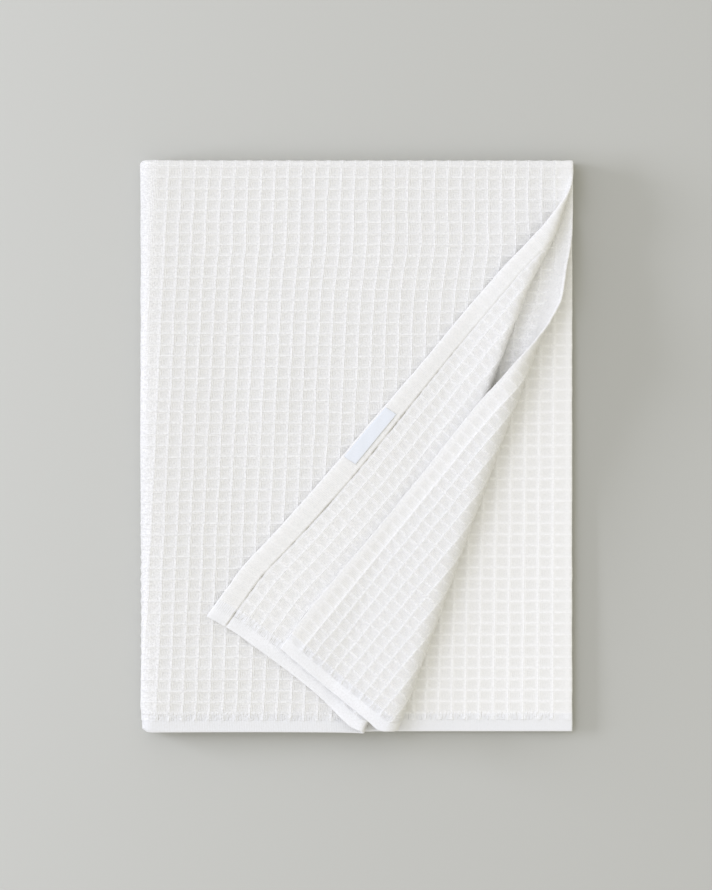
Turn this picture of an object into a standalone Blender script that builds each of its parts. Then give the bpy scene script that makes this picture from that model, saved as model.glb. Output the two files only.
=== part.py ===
"""Waffle weave cotton blanket, folded in four, with one corner of its two upper layers turned back.

The cloth is a grid laid out flat, folded by a few rules and given its thickness by Solidify.
Metres, +Z up, +X towards the side hems, +Y towards the end fold. The origin lies under the
middle of the folded blanket, on the surface that it rests on.

Places on the flat cloth are given as across, from the side hem of the upper layers round the
side fold to the side hem of the lower layers, and along, from the band of the outer layers
over the end fold to the band of the inner layers.
"""
import math
from collections import namedtuple

import bmesh
import bpy
from mathutils import Vector

# Folded blanket, seen from above
FOLDED_WIDTH = 0.378
FOLDED_LENGTH = 0.499
LEFT = -FOLDED_WIDTH / 2
RIGHT = FOLDED_WIDTH / 2
BOTTOM = -FOLDED_LENGTH / 2
TOP = FOLDED_LENGTH / 2

# Cloth and the way its layers lie on each other
THICKNESS = 0.003
LAYER_GAP = 0.001
PITCH = THICKNESS + LAYER_GAP
HEM_WIDTH = 0.0155
STITCH_WIDTH = 0.002
STITCH_PRESS = 0.72       # thickness left under the stitches of a hem
BAND_WIDTH = 0.0165
BAND_PRESS = 0.6          # thickness of the plain bands

# The folds are a little fuller than the flat stack
END_PUFF = 0.0005
END_PUFF_LENGTH = 0.035
SIDE_FOLD_RADIUS = 0.0085
UPPER_WIDTH = FOLDED_WIDTH - SIDE_FOLD_RADIUS
SIDE_ARC = math.pi * PITCH
CLOTH_WIDTH = 2 * UPPER_WIDTH + SIDE_ARC
END_ARC = math.pi * PITCH / 2
FLAT_LENGTH = FOLDED_LENGTH - (PITCH + THICKNESS) / 2
CLOTH_LENGTH = 2 * FLAT_LENGTH + END_ARC

# Swelling beside the side fold: its height and the reach of its far slope
SwellRow = namedtuple("SwellRow", "down height reach")
SIDE_SWELL = [
    SwellRow(0.000, 0.0012, 0.060),
    SwellRow(0.090, 0.0024, 0.068),
    SwellRow(0.230, 0.0034, 0.092),
    SwellRow(0.350, 0.0034, 0.092),
    SwellRow(0.430, 0.0024, 0.075),
    SwellRow(0.499, 0.0012, 0.060),
]

# Soft ridges in the upper layers: middle, direction of the crest in degrees, half sizes, height
Ridge = namedtuple("Ridge", "x y crest half_length half_width height")
RIDGES = [
    Ridge(0.135, 0.170, 62, 0.085, 0.042, 0.0022),
    Ridge(0.186, 0.226, 90, 0.030, 0.013, 0.0012),
    Ridge(-0.075, 0.045, 75, 0.090, 0.035, 0.0009),
    Ridge(-0.120, -0.195, 20, 0.080, 0.030, 0.0010),
    Ridge(0.020, 0.180, 110, 0.080, 0.040, 0.0008),
]

# A turned-back corner. start is how far down the side hem its fold line begins, lean the
# angle of that line from the side hem, rest the height of the turned cloth over its own
# layer, and run the length over which it settles from the roll to that height. Its cloth is
# pulled inwards by shift, and its hem is wider by spread. It is longer by stretch, a share of
# the length, and by end, a length that only its last stretch has.
Corner = namedtuple("Corner", "start lean rest run rolls pulls lengths")
RollRow = namedtuple("RollRow", "along offset radius")
PullRow = namedtuple("PullRow", "down shift spread")
LengthRow = namedtuple("LengthRow", "across stretch end")
FOLD_LEAN = math.radians(20.05)
END_REACH = 0.045

TOP_CORNER = Corner(
    start=0.0046,
    lean=FOLD_LEAN,
    rest=PITCH,
    run=0.030,
    rolls=[
        RollRow(0.000, 0.0000, 0.0032),
        RollRow(0.040, -0.0003, 0.0045),
        RollRow(0.066, -0.0003, 0.0050),
        RollRow(0.112, -0.0059, 0.0049),
        RollRow(0.220, -0.0062, 0.0040),
        RollRow(0.560, -0.0065, 0.0040),
    ],
    pulls=[
        PullRow(0.000, 0.0000, 0.0000),
        PullRow(0.046, 0.0000, 0.0000),
        PullRow(0.074, -0.0014, 0.0000),
        PullRow(0.100, 0.0034, 0.0000),
        PullRow(0.118, 0.0062, 0.0000),
        PullRow(0.150, 0.0079, 0.0002),
        PullRow(0.205, 0.0089, -0.0003),
        PullRow(0.260, 0.0104, 0.0012),
        PullRow(0.290, 0.0113, 0.0025),
        PullRow(0.325, 0.0120, 0.0028),
        PullRow(0.375, 0.0109, 0.0028),
        PullRow(0.410, 0.0090, 0.0019),
        PullRow(0.445, 0.0068, 0.0019),
        PullRow(0.470, 0.0085, 0.0020),
        PullRow(0.499, 0.0105, 0.0018),
    ],
    lengths=[
        LengthRow(0.000, 0.0236, 0.0000),
        LengthRow(0.015, 0.0175, 0.0000),
        LengthRow(0.030, 0.0130, 0.0000),
        LengthRow(0.060, 0.0088, 0.0000),
        LengthRow(0.090, 0.0052, 0.0000),
        LengthRow(0.120, 0.0042, 0.0000),
        LengthRow(0.160, 0.0044, 0.0022),
        LengthRow(0.173, 0.0040, -0.0008),
        LengthRow(0.230, 0.0000, 0.0000),
        LengthRow(0.370, 0.0000, 0.0000),
    ],
)
SECOND_CORNER = Corner(
    start=0.0379,
    lean=FOLD_LEAN,
    rest=3 * PITCH,
    run=0.055,
    rolls=[
        RollRow(0.000, 0.0000, 0.0095),
        RollRow(0.050, 0.0000, 0.0125),
        RollRow(0.066, 0.0000, 0.0155),
        RollRow(0.084, 0.0000, 0.0190),
        RollRow(0.100, -0.0004, 0.0165),
        RollRow(0.120, -0.0010, 0.0134),
        RollRow(0.167, 0.0008, 0.0112),
        RollRow(0.227, 0.0012, 0.0102),
        RollRow(0.347, 0.0021, 0.0098),
        RollRow(0.567, 0.0034, 0.0098),
    ],
    pulls=[
        PullRow(0.000, 0.0000, 0.0000),
        PullRow(0.066, 0.0000, 0.0000),
        PullRow(0.102, 0.0022, 0.0000),
        PullRow(0.121, 0.0052, 0.0000),
        PullRow(0.138, 0.0124, 0.0000),
        PullRow(0.155, 0.0150, 0.0006),
        PullRow(0.230, 0.0165, 0.0017),
        PullRow(0.300, 0.0185, 0.0008),
        PullRow(0.370, 0.0193, 0.0012),
        PullRow(0.430, 0.0198, 0.0024),
        PullRow(0.470, 0.0202, 0.0025),
        PullRow(0.510, 0.0205, 0.0000),
    ],
    lengths=[
        LengthRow(0.000, 0.0240, 0.0000),
        LengthRow(0.050, 0.0248, 0.0000),
        LengthRow(0.105, 0.0218, 0.0000),
        LengthRow(0.117, 0.0212, 0.0000),
        LengthRow(0.127, 0.0197, -0.0058),
        LengthRow(0.137, 0.0180, -0.0100),
        LengthRow(0.150, 0.0150, -0.0080),
        LengthRow(0.200, 0.0000, 0.0000),
        LengthRow(0.370, 0.0000, 0.0000),
    ],
)

# Label, sewn flat on the wrong side of the hem of the top corner
LABEL_LENGTH = 0.055
LABEL_WIDTH = 0.0105
LABEL_THICKNESS = 0.0008
LABEL_ACROSS = 0.0067
LABEL_ALONG = 0.2065
LABEL_CLEARANCE = 0.0004
LABEL_CELLS = (3, 12)

# Grid of the cloth: cells across each part of it, and cells along each layer
FLAP_CELLS = 7
ROLL_CELLS = 9
UPPER_CELLS = 7
SIDE_FOLD_CELLS = 7
LOWER_CELLS = 5
LENGTH_CELLS = 27
END_FOLD_CELLS = 6
LENGTH_EASE = 1.45
UPPER_EASE = 1.3
FLAP_EASE = 1.2
SMALLEST_CELL = 0.0009


def remove_scene_objects():
    """Empties the scene."""
    for item in list(bpy.data.objects):
        bpy.data.objects.remove(item)


def smooth(value):
    """Goes from 0 to 1 with level ends."""
    share = min(max(value, 0.0), 1.0)
    return share * share * (3 - 2 * share)


def read_table(rows, key, column, value):
    """Reads one column of a table as a smooth curve over its key column."""
    keys = [getattr(row, key) for row in rows]
    heights = [getattr(row, column) for row in rows]
    value = min(max(value, keys[0]), keys[-1])
    index = max(i for i in range(len(keys) - 1) if keys[i] <= value)

    def slope(i):
        before = max(i - 1, 0)
        after = min(i + 1, len(keys) - 1)
        return (heights[after] - heights[before]) / (keys[after] - keys[before])

    step = keys[index + 1] - keys[index]
    share = (value - keys[index]) / step
    rise = smooth(share)
    leave = share * (1 - share) ** 2 * step * slope(index)
    arrive = share ** 2 * (share - 1) * step * slope(index + 1)
    return heights[index] * (1 - rise) + heights[index + 1] * rise + leave + arrive


def end_puff(y):
    """Gives the extra height between two layers that the end fold joins."""
    return END_PUFF * (1 - smooth((TOP - y) / END_PUFF_LENGTH))


def ridge_height(ridge, x, y):
    """Gives the height of one soft ridge at a place."""
    angle = math.radians(ridge.crest)
    along = (x - ridge.x) * math.cos(angle) + (y - ridge.y) * math.sin(angle)
    aside = (y - ridge.y) * math.cos(angle) - (x - ridge.x) * math.sin(angle)
    reach = math.hypot(along / ridge.half_length, aside / ridge.half_width)
    return ridge.height * (1 - smooth(reach))


def lift(x, y):
    """Gives how far the two upper layers stand above their flat stack."""
    down = TOP - y
    height = read_table(SIDE_SWELL, "down", "height", down)
    reach = read_table(SIDE_SWELL, "down", "reach", down)
    swell = height * (1 - smooth((x - LEFT - SIDE_FOLD_RADIUS) / reach))
    return swell + sum(ridge_height(ridge, x, y) for ridge in RIDGES)


def layer_heights(x, y):
    """Gives the heights of the middles of the four layers, from the top one down."""
    lowest = THICKNESS / 2
    third = lowest + PITCH + end_puff(y)
    second = third + PITCH + lift(x, y)
    top = second + PITCH + end_puff(y)
    return top, second, third, lowest


def pulled(corner, across, down):
    """Gives where a place of an upper layer lies in its own plane before its corner is turned."""
    x = RIGHT - across
    x -= read_table(corner.pulls, "down", "shift", down) * (1 - across / UPPER_WIDTH)
    x += read_table(corner.pulls, "down", "spread", down) * max(1 - across / HEM_WIDTH, 0.0)
    y = TOP - down * (1 + read_table(corner.lengths, "across", "stretch", across))
    near_end = smooth((down - FOLDED_LENGTH) / END_REACH + 1)
    y -= read_table(corner.lengths, "across", "end", across) * near_end
    return x, y


def fold_place(corner, x, y):
    """Gives the distance along the fold line of a corner and the distance past it."""
    right = x - RIGHT
    up = y - (TOP - corner.start)
    along = -right * math.sin(corner.lean) - up * math.cos(corner.lean)
    past = right * math.cos(corner.lean) - up * math.sin(corner.lean)
    return along, past - read_table(corner.rolls, "along", "offset", along)


def settle_angle(corner, radius):
    """Gives the angle at which the turned cloth comes down from its roll."""
    return max((2 * radius - corner.rest) / corner.run, 0.001)


def roll_arc(corner, radius):
    """Gives the length of cloth in the roll of a corner."""
    return radius * (math.pi + settle_angle(corner, radius))


def turned(corner, past, radius):
    """Gives the place across the fold line and the rise of cloth that lies past the line."""
    if past <= 0:
        return past, 0.0
    angle = settle_angle(corner, radius)
    arc = roll_arc(corner, radius)
    turn = min(past, arc) / radius
    reach = radius * math.sin(turn)
    rise = radius * (1 - math.cos(turn))
    foot_radius = corner.run / 2
    drop = radius * (1 + math.cos(angle)) - corner.rest - foot_radius * (1 - math.cos(angle))
    slope_length = max(drop, 0.0) / math.sin(angle)
    on_slope = min(max(past - arc, 0.0), slope_length)
    reach -= on_slope * math.cos(angle)
    rise -= on_slope * math.sin(angle)
    past_slope = max(past - arc - slope_length, 0.0)
    bend = min(past_slope / foot_radius, angle)
    reach -= foot_radius * (math.sin(angle) - math.sin(angle - bend))
    rise -= foot_radius * (math.cos(angle - bend) - math.cos(angle))
    reach -= max(past_slope - foot_radius * angle, 0.0)
    return reach, rise


def turn_corner(corner, across, down, layer):
    """Places a point of an upper layer, with its corner turned back where it is past the line."""
    x, y = pulled(corner, across, down)
    along, past = fold_place(corner, x, y)
    radius = read_table(corner.rolls, "along", "radius", along)
    reach, rise = turned(corner, past, radius)
    shift = reach - past
    x += shift * math.cos(corner.lean)
    y -= shift * math.sin(corner.lean)
    return x, y, layer_heights(x, y)[layer] + rise


def press(across, along):
    """Gives the share of the full thickness at a place: less in the bands and under stitches."""
    from_hem = min(across, CLOTH_WIDTH - across)
    from_end = min(along, CLOTH_LENGTH - along)
    stitch = 1 - smooth(abs(from_hem - HEM_WIDTH) / STITCH_WIDTH)
    band = 1 - smooth((from_end - BAND_WIDTH) / STITCH_WIDTH)
    return 1 - (1 - BAND_PRESS) * band - (1 - STITCH_PRESS) * stitch * (1 - band)


def end_turn(along):
    """Gives the turn round the end fold, from 0 on the outer layers to pi on the inner ones."""
    return math.pi * min(max((along - FLAT_LENGTH) / END_ARC, 0.0), 1.0)


def place(across, along):
    """Places the middle of the cloth at a point of the flat cloth."""
    turn = end_turn(along)
    inner = turn > math.pi / 2
    down = FOLDED_LENGTH - (CLOTH_LENGTH - along if inner else along)
    flat_end = TOP - (PITCH + THICKNESS) / 2
    y = min(TOP - down, flat_end)
    half_gap = (PITCH + end_puff(y)) / 2
    shift_y = half_gap * math.sin(turn)
    side = half_gap * math.cos(turn)
    if 0 < turn < math.pi:
        down = TOP - flat_end

    if across < UPPER_WIDTH:
        corner = SECOND_CORNER if inner else TOP_CORNER
        x, y, z = turn_corner(corner, across, down, 1 if inner else 0)
        if 0 < turn < math.pi:
            top, second = layer_heights(x, y)[:2]
            z += (top + second) / 2 + side - (second if inner else top)
        return Vector((x, y + shift_y, z))

    fold_x = LEFT + SIDE_FOLD_RADIUS
    top, second, third, lowest = layer_heights(fold_x, y)
    turn_radius = (top + second - third - lowest) / 4 + side
    middle = (top + lowest) / 2
    if across < UPPER_WIDTH + SIDE_ARC:
        angle = math.pi * (across - UPPER_WIDTH) / SIDE_ARC
        width = SIDE_FOLD_RADIUS - THICKNESS / 2 - (PITCH / 2 - side)
        x = fold_x - width * math.sin(angle)
        return Vector((x, y + shift_y, middle + turn_radius * math.cos(angle)))

    x = fold_x + across - UPPER_WIDTH - SIDE_ARC
    on_floor = THICKNESS / 2 * press(across, along) - THICKNESS / 2
    z = (third + lowest) / 2 - side
    if turn == 0:
        z += on_floor
    return Vector((x, y + shift_y, z))


def fold_span(corner, down):
    """Gives how far from the side hem the roll of a corner ends and begins in one row."""
    def find(limit):
        low, high = -UPPER_WIDTH, UPPER_WIDTH
        for _ in range(40):
            middle = (low + high) / 2
            along, past = fold_place(corner, *pulled(corner, middle, down))
            radius = read_table(corner.rolls, "along", "radius", along)
            if past > limit(radius):
                low = middle
            else:
                high = middle
        return low

    return find(lambda radius: roll_arc(corner, radius)), find(lambda radius: 0.0)


def row_across(along):
    """Gives the places across the cloth of one row of the grid, with the rolls finely divided."""
    inner = end_turn(along) > math.pi / 2
    corner = SECOND_CORNER if inner else TOP_CORNER
    down = FOLDED_LENGTH - (CLOTH_LENGTH - along if inner else along)
    roll_end, roll_start = fold_span(corner, max(down, TOP - BOTTOM - FLAT_LENGTH))
    roll_end = max(roll_end, FLAP_CELLS * SMALLEST_CELL)
    roll_start = max(roll_start, roll_end + ROLL_CELLS * SMALLEST_CELL)

    hem_edges = [0.0, HEM_WIDTH - STITCH_WIDTH, HEM_WIDTH, HEM_WIDTH + STITCH_WIDTH]
    hem_scale = min(1.0, roll_end / (3 * HEM_WIDTH))
    places = [edge * hem_scale for edge in hem_edges]
    flap_start = places[-1]
    rest_cells = FLAP_CELLS - len(places) + 1
    for index in range(1, rest_cells + 1):
        share = 1 - (1 - index / rest_cells) ** FLAP_EASE
        places.append(flap_start + (roll_end - flap_start) * share)
    for index in range(1, ROLL_CELLS + 1):
        places.append(roll_end + (roll_start - roll_end) * index / ROLL_CELLS)
    for index in range(1, UPPER_CELLS + 1):
        share = 1 - (1 - index / UPPER_CELLS) ** UPPER_EASE
        places.append(roll_start + (UPPER_WIDTH - roll_start) * share)
    for index in range(1, SIDE_FOLD_CELLS + 1):
        places.append(UPPER_WIDTH + SIDE_ARC * index / SIDE_FOLD_CELLS)
    lower_start = places[-1]
    lower_end = CLOTH_WIDTH - HEM_WIDTH - STITCH_WIDTH
    for index in range(1, LOWER_CELLS + 1):
        places.append(lower_start + (lower_end - lower_start) * index / LOWER_CELLS)
    places.extend(CLOTH_WIDTH - edge for edge in reversed(hem_edges[:-1]))
    return places


def row_places():
    """Gives the places along the cloth of the grid's rows, closer towards the end fold."""
    places = [0.0, BAND_WIDTH / 2, BAND_WIDTH, BAND_WIDTH + STITCH_WIDTH]
    start = places[-1]
    for index in range(1, LENGTH_CELLS + 1):
        share = 1 - (1 - index / LENGTH_CELLS) ** LENGTH_EASE
        places.append(start + (FLAT_LENGTH - start) * share)
    half = list(places)
    for index in range(1, END_FOLD_CELLS):
        places.append(FLAT_LENGTH + END_ARC * index / END_FOLD_CELLS)
    places.extend(CLOTH_LENGTH - along for along in reversed(half))
    return places


def make_material(name, color, roughness):
    """Makes a plain cloth material."""
    material = bpy.data.materials.new(name)
    material.use_nodes = True
    shader = material.node_tree.nodes["Principled BSDF"]
    shader.inputs["Base Color"].default_value = (*color, 1.0)
    shader.inputs["Roughness"].default_value = roughness
    shader.inputs["Metallic"].default_value = 0.0
    return material


def make_blanket(collection):
    """Makes the folded cloth: one grid, folded row by row, with its thickness."""
    rows = [(along, row_across(along)) for along in row_places()]
    columns = len(rows[0][1])
    bm = bmesh.new()
    bmesh.ops.create_grid(bm, x_segments=columns - 1, y_segments=len(rows) - 1, size=1.0)
    mesh = bpy.data.meshes.new("blanket")
    presses = []
    for vert in bm.verts:
        row = round((vert.co.y + 1) / 2 * (len(rows) - 1))
        column = round((vert.co.x + 1) / 2 * (columns - 1))
        along, across_places = rows[row]
        presses.append(press(across_places[column], along))
        vert.co = place(across_places[column], along)
    bm.to_mesh(mesh)
    bm.free()

    blanket = bpy.data.objects.new("blanket", mesh)
    collection.objects.link(blanket)
    group = blanket.vertex_groups.new(name="thickness")
    for index, share in enumerate(presses):
        group.add([index], share, "REPLACE")
    shell = blanket.modifiers.new("Solidify", "SOLIDIFY")
    shell.thickness = THICKNESS
    shell.offset = 0.0
    shell.vertex_group = group.name
    mesh.materials.append(make_material("waffle cotton", (0.86, 0.85, 0.82), 0.9))
    return blanket


def label_place(across, along):
    """Places the middle of the label at a point of its hem, on the wrong side of the cloth."""
    feel = LABEL_WIDTH / 2
    run_across = place(across + feel, along) - place(across - feel, along)
    run_along = place(across, along + feel) - place(across, along - feel)
    up = run_across.cross(run_along).normalized()
    height = (THICKNESS + LABEL_THICKNESS) / 2 + LABEL_CLEARANCE
    return place(across, along) + up * height


def make_label(collection):
    """Makes the blank woven label as a thin sheet that follows its hem."""
    bm = bmesh.new()
    bmesh.ops.create_grid(bm, x_segments=LABEL_CELLS[0], y_segments=LABEL_CELLS[1], size=0.5)
    for vert in bm.verts:
        across = LABEL_ACROSS + LABEL_WIDTH * vert.co.x
        vert.co = label_place(across, LABEL_ALONG + LABEL_LENGTH * vert.co.y)
    mesh = bpy.data.meshes.new("label")
    bm.to_mesh(mesh)
    bm.free()

    label = bpy.data.objects.new("label", mesh)
    collection.objects.link(label)
    shell = label.modifiers.new("Solidify", "SOLIDIFY")
    shell.thickness = LABEL_THICKNESS
    shell.offset = 0.0
    mesh.materials.append(make_material("woven label", (0.80, 0.82, 0.84), 0.75))
    return label


def main():
    """Builds the blanket and its label."""
    remove_scene_objects()
    collection = bpy.data.collections.new("waffle weave cotton blanket")
    bpy.context.scene.collection.children.link(collection)
    make_blanket(collection)
    make_label(collection)


main()
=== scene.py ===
"""Looks of the waffle weave cotton blanket, folded in four with one corner turned back.

The cloth is laid out flat as a grid of weave cells with its hems, bands and relief, and is then
folded by the same rules and named sizes as its solid. Metres, +Z up. Places on the flat cloth
are given as across, from the side hem of the upper layers round the side fold to the side hem
of the lower layers, and along, from the band of the outer layers over the end fold to the band
of the inner layers.
"""

import enum
import logging
import math
from dataclasses import dataclass

import bpy
import numpy as np
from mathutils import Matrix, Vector


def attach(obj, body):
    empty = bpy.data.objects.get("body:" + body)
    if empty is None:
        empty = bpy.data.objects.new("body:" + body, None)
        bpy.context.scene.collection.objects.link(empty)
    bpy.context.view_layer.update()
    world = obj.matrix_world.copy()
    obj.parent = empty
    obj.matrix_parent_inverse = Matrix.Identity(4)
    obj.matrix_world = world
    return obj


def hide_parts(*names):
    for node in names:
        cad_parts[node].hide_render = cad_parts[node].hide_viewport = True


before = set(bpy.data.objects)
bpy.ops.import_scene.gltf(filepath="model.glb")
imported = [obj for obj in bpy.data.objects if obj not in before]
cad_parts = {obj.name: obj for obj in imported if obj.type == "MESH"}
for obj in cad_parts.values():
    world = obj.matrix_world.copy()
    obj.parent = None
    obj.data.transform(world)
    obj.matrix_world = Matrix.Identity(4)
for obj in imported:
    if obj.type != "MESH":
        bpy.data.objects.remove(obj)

LOG = logging.getLogger("blanket")
Array = np.ndarray
Color = tuple[float, float, float]
MILLIMETRES = 1000
TINY = 1e-12


class Face(enum.Enum):
    """The two faces of the cloth."""

    RIGHT = 1
    WRONG = -1


def smooth(value: Array) -> Array:
    """Goes from 0 to 1 with level ends."""
    share = np.clip(value, 0.0, 1.0)
    return share * share * (3 - 2 * share)


def hump(value: Array, place: Array, width: Array) -> Array:
    """Goes from 1 at a place to 0 at a width from it."""
    return 1 - smooth(np.abs(value - place) / width)


def unit(vectors: Array) -> Array:
    """Gives vectors their length of one."""
    length = np.linalg.norm(vectors, axis=-1, keepdims=True)
    return vectors / np.maximum(length, TINY)


@dataclass(frozen=True)
class Ramp:
    """A smooth rise to 1, from a low value at its start and over its length."""

    start: float
    length: float
    low: float = 0.0

    def at(self, value: Array) -> Array:
        """Reads the ramp."""
        return self.low + (1 - self.low) * smooth((value - self.start) / self.length)


@dataclass(frozen=True)
class Curve:
    """A smooth curve through the rows of a short table."""

    keys: tuple[float, ...]
    heights: tuple[float, ...]

    def at(self, value: Array) -> Array:
        """Reads the curve.

        Args:
            value: places along the key column.

        Returns:
            The heights there, level beyond the ends of the table.
        """
        keys, heights = np.array(self.keys), np.array(self.heights)
        count = len(keys)
        before = np.maximum(np.arange(count) - 1, 0)
        after = np.minimum(np.arange(count) + 1, count - 1)
        slopes = (heights[after] - heights[before]) / (keys[after] - keys[before])
        value = np.clip(value, keys[0], keys[-1])
        index = np.clip(np.searchsorted(keys, value, "right") - 1, 0, count - 2)
        step = keys[index + 1] - keys[index]
        share = (value - keys[index]) / step
        rise = smooth(share)
        leave = share * (1 - share) ** 2 * step * slopes[index]
        arrive = share ** 2 * (share - 1) * step * slopes[index + 1]
        return heights[index] * (1 - rise) + heights[index + 1] * rise + leave + arrive


def curves(keys: tuple[float, ...], *rows: tuple[float, ...]) -> list[Curve]:
    """Gives curves that share their keys."""
    return [Curve(keys, heights) for heights in rows]


@dataclass(frozen=True)
class Ridge:
    """A soft ridge in the upper layers."""

    x: float
    y: float
    crest: float
    half_length: float
    half_width: float
    height: float

    def at(self, x: Array, y: Array) -> Array:
        """Gives the height of the ridge at places seen from above."""
        angle = math.radians(self.crest)
        along = (x - self.x) * math.cos(angle) + (y - self.y) * math.sin(angle)
        aside = (y - self.y) * math.cos(angle) - (x - self.x) * math.sin(angle)
        reach = np.hypot(along / self.half_length, aside / self.half_width)
        return self.height * (1 - smooth(reach))


@dataclass(frozen=True)
class Stack:
    """The four layers of cloth, with the sizes of the folded blanket."""

    width: float = 0.378
    length: float = 0.499
    thickness: float = 0.003
    layer_gap: float = 0.001
    puff_height: float = 0.0005
    puff_length: float = 0.035
    side_fold_radius: float = 0.0085
    swell_height: Curve = Curve(
        (0.0, 0.090, 0.230, 0.350, 0.430, 0.499),
        (0.0012, 0.0024, 0.0034, 0.0034, 0.0024, 0.0012),
    )
    swell_reach: Curve = Curve(
        (0.0, 0.090, 0.230, 0.350, 0.430, 0.499),
        (0.060, 0.068, 0.092, 0.092, 0.075, 0.060),
    )
    ridges: tuple[Ridge, ...] = (
        Ridge(0.135, 0.170, 62, 0.085, 0.042, 0.0022),
        Ridge(0.186, 0.226, 90, 0.030, 0.013, 0.0012),
        Ridge(-0.075, 0.045, 75, 0.090, 0.035, 0.0009),
        Ridge(-0.120, -0.195, 20, 0.080, 0.030, 0.0010),
        Ridge(0.020, 0.180, 110, 0.080, 0.040, 0.0008),
    )

    @property
    def left(self) -> float:
        """The left edge of the folded blanket."""
        return -self.width / 2

    @property
    def right(self) -> float:
        """The right edge of the folded blanket."""
        return self.width / 2

    @property
    def top(self) -> float:
        """The far edge of the folded blanket, at its end fold."""
        return self.length / 2

    @property
    def pitch(self) -> float:
        """The height from one layer to the next."""
        return self.thickness + self.layer_gap

    @property
    def upper_width(self) -> float:
        """The width of an upper layer, from its hem to the side fold."""
        return self.width - self.side_fold_radius

    @property
    def side_arc(self) -> float:
        """The cloth in the side fold."""
        return math.pi * self.pitch

    @property
    def cloth_width(self) -> float:
        """The width of the flat cloth."""
        return 2 * self.upper_width + self.side_arc

    @property
    def end_arc(self) -> float:
        """The cloth in the end fold."""
        return math.pi * self.pitch / 2

    @property
    def flat_length(self) -> float:
        """The length of a layer up to the end fold."""
        return self.length - (self.pitch + self.thickness) / 2

    @property
    def cloth_length(self) -> float:
        """The length of the flat cloth."""
        return 2 * self.flat_length + self.end_arc

    def end_puff(self, y: Array) -> Array:
        """Gives the extra height between two layers that the end fold joins."""
        return self.puff_height * (1 - smooth((self.top - y) / self.puff_length))

    def lift(self, x: Array, y: Array) -> Array:
        """Gives how far the two upper layers stand above their flat stack."""
        down = self.top - y
        reach = (x - self.left - self.side_fold_radius) / self.swell_reach.at(down)
        swell = self.swell_height.at(down) * (1 - smooth(reach))
        return swell + sum(ridge.at(x, y) for ridge in self.ridges)

    def heights(self, x: Array, y: Array) -> tuple[Array, Array, Array, Array]:
        """Gives the heights of the middles of the four layers.

        Args:
            x: places from left to right.
            y: places from near to far.

        Returns:
            The heights of the layers, from the top one down.
        """
        lowest = np.full_like(x, self.thickness / 2)
        third = lowest + self.pitch + self.end_puff(y)
        second = third + self.pitch + self.lift(x, y)
        top = second + self.pitch + self.end_puff(y)
        return top, second, third, lowest


@dataclass
class Places:
    """Places on the flat cloth, with their distances from its edges and folds.

    down is the distance from the far edge of the blanket, inner tells which places lie on the
    inner layers, and lower goes from 0 on the upper layers to 1 on the lower ones.
    """

    stack: Stack
    across: Array
    along: Array
    lower_length: float = 0.02

    def __post_init__(self) -> None:
        """Measures the distances."""
        s = self.stack
        self.from_hem = np.minimum(self.across, s.cloth_width - self.across)
        self.from_end = np.minimum(self.along, s.cloth_length - self.along)
        self.from_fold = np.abs(self.across - s.upper_width - s.side_arc / 2)
        self.inner = self.along > s.cloth_length / 2
        self.down = s.length - np.where(self.inner, s.cloth_length - self.along, self.along)
        past_fold = self.across - s.upper_width - s.side_arc
        self.lower = smooth(past_fold / self.lower_length)


@dataclass(frozen=True)
class SoftNoise:
    """Smooth seeded unevenness over the flat cloth, from -amount to amount."""

    seed: int
    across: float
    along: float
    amount: float
    reach: float = 1.2
    spare: int = 4
    rim: float = 1.001

    def at(self, at: Places) -> Array:
        """Reads the unevenness at places."""
        columns = int(self.reach / self.across) + self.spare
        rows = int(self.reach / self.along) + self.spare
        lattice = np.random.default_rng(self.seed).uniform(-1, 1, (columns, rows))
        s = np.clip(at.across / self.across + 1, 0, columns - self.rim)
        t = np.clip(at.along / self.along + 1, 0, rows - self.rim)
        i, j = s.astype(int), t.astype(int)
        a, b = smooth(s - i), smooth(t - j)
        low = lattice[i, j] * (1 - a) + lattice[i + 1, j] * a
        high = lattice[i, j + 1] * (1 - a) + lattice[i + 1, j + 1] * a
        return self.amount * (low * (1 - b) + high * b)


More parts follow.
